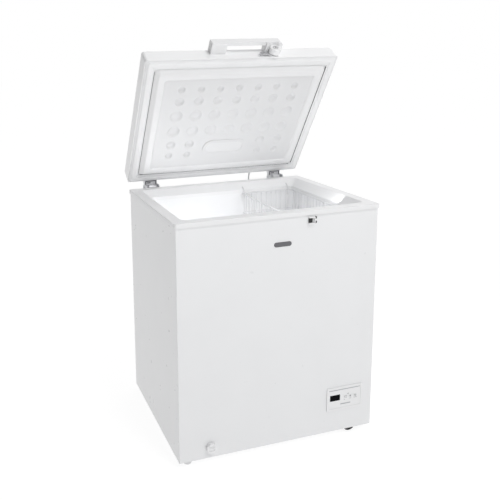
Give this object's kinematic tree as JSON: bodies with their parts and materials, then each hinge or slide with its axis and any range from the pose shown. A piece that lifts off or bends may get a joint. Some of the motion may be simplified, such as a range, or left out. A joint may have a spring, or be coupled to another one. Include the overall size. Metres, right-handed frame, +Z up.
{
  "type": "chest freezer",
  "caption": "Compact white chest freezer with a hinged, dimpled lid held open, front grip handle and lock, wire basket, drain valve, rear compressor bay, feet and rollers.",
  "frame": {"origin": "floor level, under the middle of the whole object's bounding box with the lid open as stored", "axes": "+Z up, -Y out of the front (control panel) face, +X towards the compressor side"},
  "size_m": [0.697, 0.606, 1.3251],
  "materials": {
    "white_paint": "semi-gloss white enamel",
    "grey_panel": "satin grey coated sheet",
    "zinc_steel": "zinc-plated",
    "spring_steel": "oiled spring wire",
    "hinge_steel": "white powder coat",
    "leaf_steel": "dark phosphated",
    "foam": "rigid foam, slightly porous",
    "liner_metal": "stucco-embossed, satin",
    "white_plastic": "smooth moulded white",
    "grey_plastic": "light grey, satin",
    "gasket_rubber": "soft light grey",
    "lens": "opal",
    "display_black": "black window",
    "black_rubber": "black",
    "cable_white": "light grey sheath",
    "compressor_black": "black paint",
    "black_plastic": "black",
    "copper": "drawn copper",
    "lock_metal": "nickel-plated",
    "basket_wire": "white coated wire"
  },
  "bodies": {
    "cabinet": {"badge": "grey_plastic", "base_pan": "zinc_steel", "bay_cover": "grey_panel", "bay_partition": "zinc_steel", "cabinet_foam": "foam", "cable_grommet_cabinet": "black_rubber", "compressor": "compressor_black", "compressor_bolts": "zinc_steel", "compressor_grommets": "black_rubber", "compressor_tray": "zinc_steel", "control_bezel": "white_plastic", "cord_gland": "black_rubber", "display_window": "display_black", "drain_pipe": "white_plastic", "evaporator_tube": "copper", "filter_drier": "copper", "hinge_base_left": "hinge_steel", "hinge_base_right": "hinge_steel", "hinge_base_screws": "zinc_steel", "hinge_pins": "zinc_steel", "hinge_spring_left": "spring_steel", "hinge_spring_right": "spring_steel", "inner_liner": "liner_metal", "lamp_cable": "cable_white", "lock_strike": "white_plastic", "outer_shell": "white_paint", "rear_panel": "grey_panel", "refrigerant_pipes": "copper", "rim_frame": "white_plastic", "roller_axles": "zinc_steel", "roller_brackets": "zinc_steel", "side_grille": "white_plastic", "starter_cover": "black_plastic"},
    "lid": {"lid_skin": "white_paint", "lid_foam": "foam", "lid_panel": "white_plastic", "lid_gasket": "gasket_rubber", "lamp_bezel": "white_plastic", "lamp_lens": "lens", "handle": "grey_plastic", "lock_housing": "white_plastic", "hinge_leaf_left": "leaf_steel", "hinge_leaf_right": "leaf_steel", "hinge_leaf_screws": "zinc_steel", "cable_grommet_lid": "black_rubber"},
    "lock": {"lock_barrel": "lock_metal", "lock_cam": "lock_metal"},
    "hinge_plunger_left": {"hinge_plunger_left": "zinc_steel"},
    "hinge_plunger_right": {"hinge_plunger_right": "zinc_steel"},
    "foot_front": {"foot_front": "grey_plastic"},
    "foot_rear": {"foot_rear": "grey_plastic"},
    "roller_front": {"roller_front": "black_rubber"},
    "roller_rear": {"roller_rear": "black_rubber"},
    "drain_sleeve": {"drain_sleeve": "white_plastic"},
    "drain_knob": {"drain_knob": "white_plastic"},
    "drain_plug": {"drain_plug": "white_plastic"},
    "key_mode": {"key_mode": "grey_plastic"},
    "key_colder": {"key_colder": "grey_plastic"},
    "key_power": {"key_power": "grey_plastic"},
    "basket": {"basket": "basket_wire"}
  },
  "joints": [
    {"name": "lid_hinge", "type": "hinge", "parent": "cabinet", "child": "lid", "pos_m": [0, 0.263, 0.787], "axis": [-1, 0, 0], "range_deg": [-57, 18], "deforming": ["lamp_cable"]},
    {"name": "lock_turn", "type": "hinge", "parent": "lid", "child": "lock", "pos_m": [0.105, -0.02757, 1.28034], "axis": [0, -0.5446, 0.8387], "range_deg": [0, 90]},
    {"name": "plunger_left_slide", "type": "slide", "parent": "cabinet", "child": "hinge_plunger_left", "axis": [0, 0, 1], "range_m": [-0.0047, 0.0017], "deforming": ["hinge_spring_left"]},
    {"name": "plunger_right_slide", "type": "slide", "parent": "cabinet", "child": "hinge_plunger_right", "axis": [0, 0, 1], "range_m": [-0.0047, 0.0017], "deforming": ["hinge_spring_right"]},
    {"name": "foot_front_screw", "type": "hinge", "parent": "cabinet", "child": "foot_front", "pos_m": [-0.309, -0.265, 0.01], "axis": [0, 0, 1], "continuous": true},
    {"name": "foot_rear_screw", "type": "hinge", "parent": "cabinet", "child": "foot_rear", "pos_m": [-0.309, 0.207, 0.01], "axis": [0, 0, 1], "continuous": true},
    {"name": "roller_front_spin", "type": "hinge", "parent": "cabinet", "child": "roller_front", "pos_m": [0.272, -0.267, 0.024], "axis": [0, 1, 0], "continuous": true},
    {"name": "roller_rear_spin", "type": "hinge", "parent": "cabinet", "child": "roller_rear", "pos_m": [0.272, 0.209, 0.024], "axis": [0, 1, 0], "continuous": true},
    {"name": "drain_pull", "type": "slide", "parent": "cabinet", "child": "drain_sleeve", "axis": [0, -1, 0], "range_m": [0, 0.012]},
    {"name": "drain_turn", "type": "hinge", "parent": "drain_sleeve", "child": "drain_knob", "pos_m": [-0.24, -0.299, 0.056], "axis": [0, 1, 0], "range_deg": [0, 180]},
    {"name": "drain_plug_lift", "type": "slide", "parent": "cabinet", "child": "drain_plug", "axis": [0, 0, 1], "range_m": [0, 0.03]},
    {"name": "basket_lift", "type": "slide", "parent": "cabinet", "child": "basket", "axis": [0, 0, 1], "range_m": [0, 0.1]},
    {"name": "key_mode_press", "type": "slide", "parent": "cabinet", "child": "key_mode", "axis": [0, 1, 0], "range_m": [0, 0.0008], "stiffness_N_per_m": 800, "springref_m": -0.0004},
    {"name": "key_colder_press", "type": "slide", "parent": "cabinet", "child": "key_colder", "axis": [0, 1, 0], "range_m": [0, 0.0008], "stiffness_N_per_m": 800, "springref_m": -0.0004},
    {"name": "key_power_press", "type": "slide", "parent": "cabinet", "child": "key_power", "axis": [0, 1, 0], "range_m": [0, 0.0008], "stiffness_N_per_m": 800, "springref_m": -0.0004}
  ],
  "couplings": [
    {"joint": "plunger_left_slide", "follows": "lid_hinge", "m_per_rad": 0.00465},
    {"joint": "plunger_right_slide", "follows": "lid_hinge", "m_per_rad": 0.00465}
  ]
}
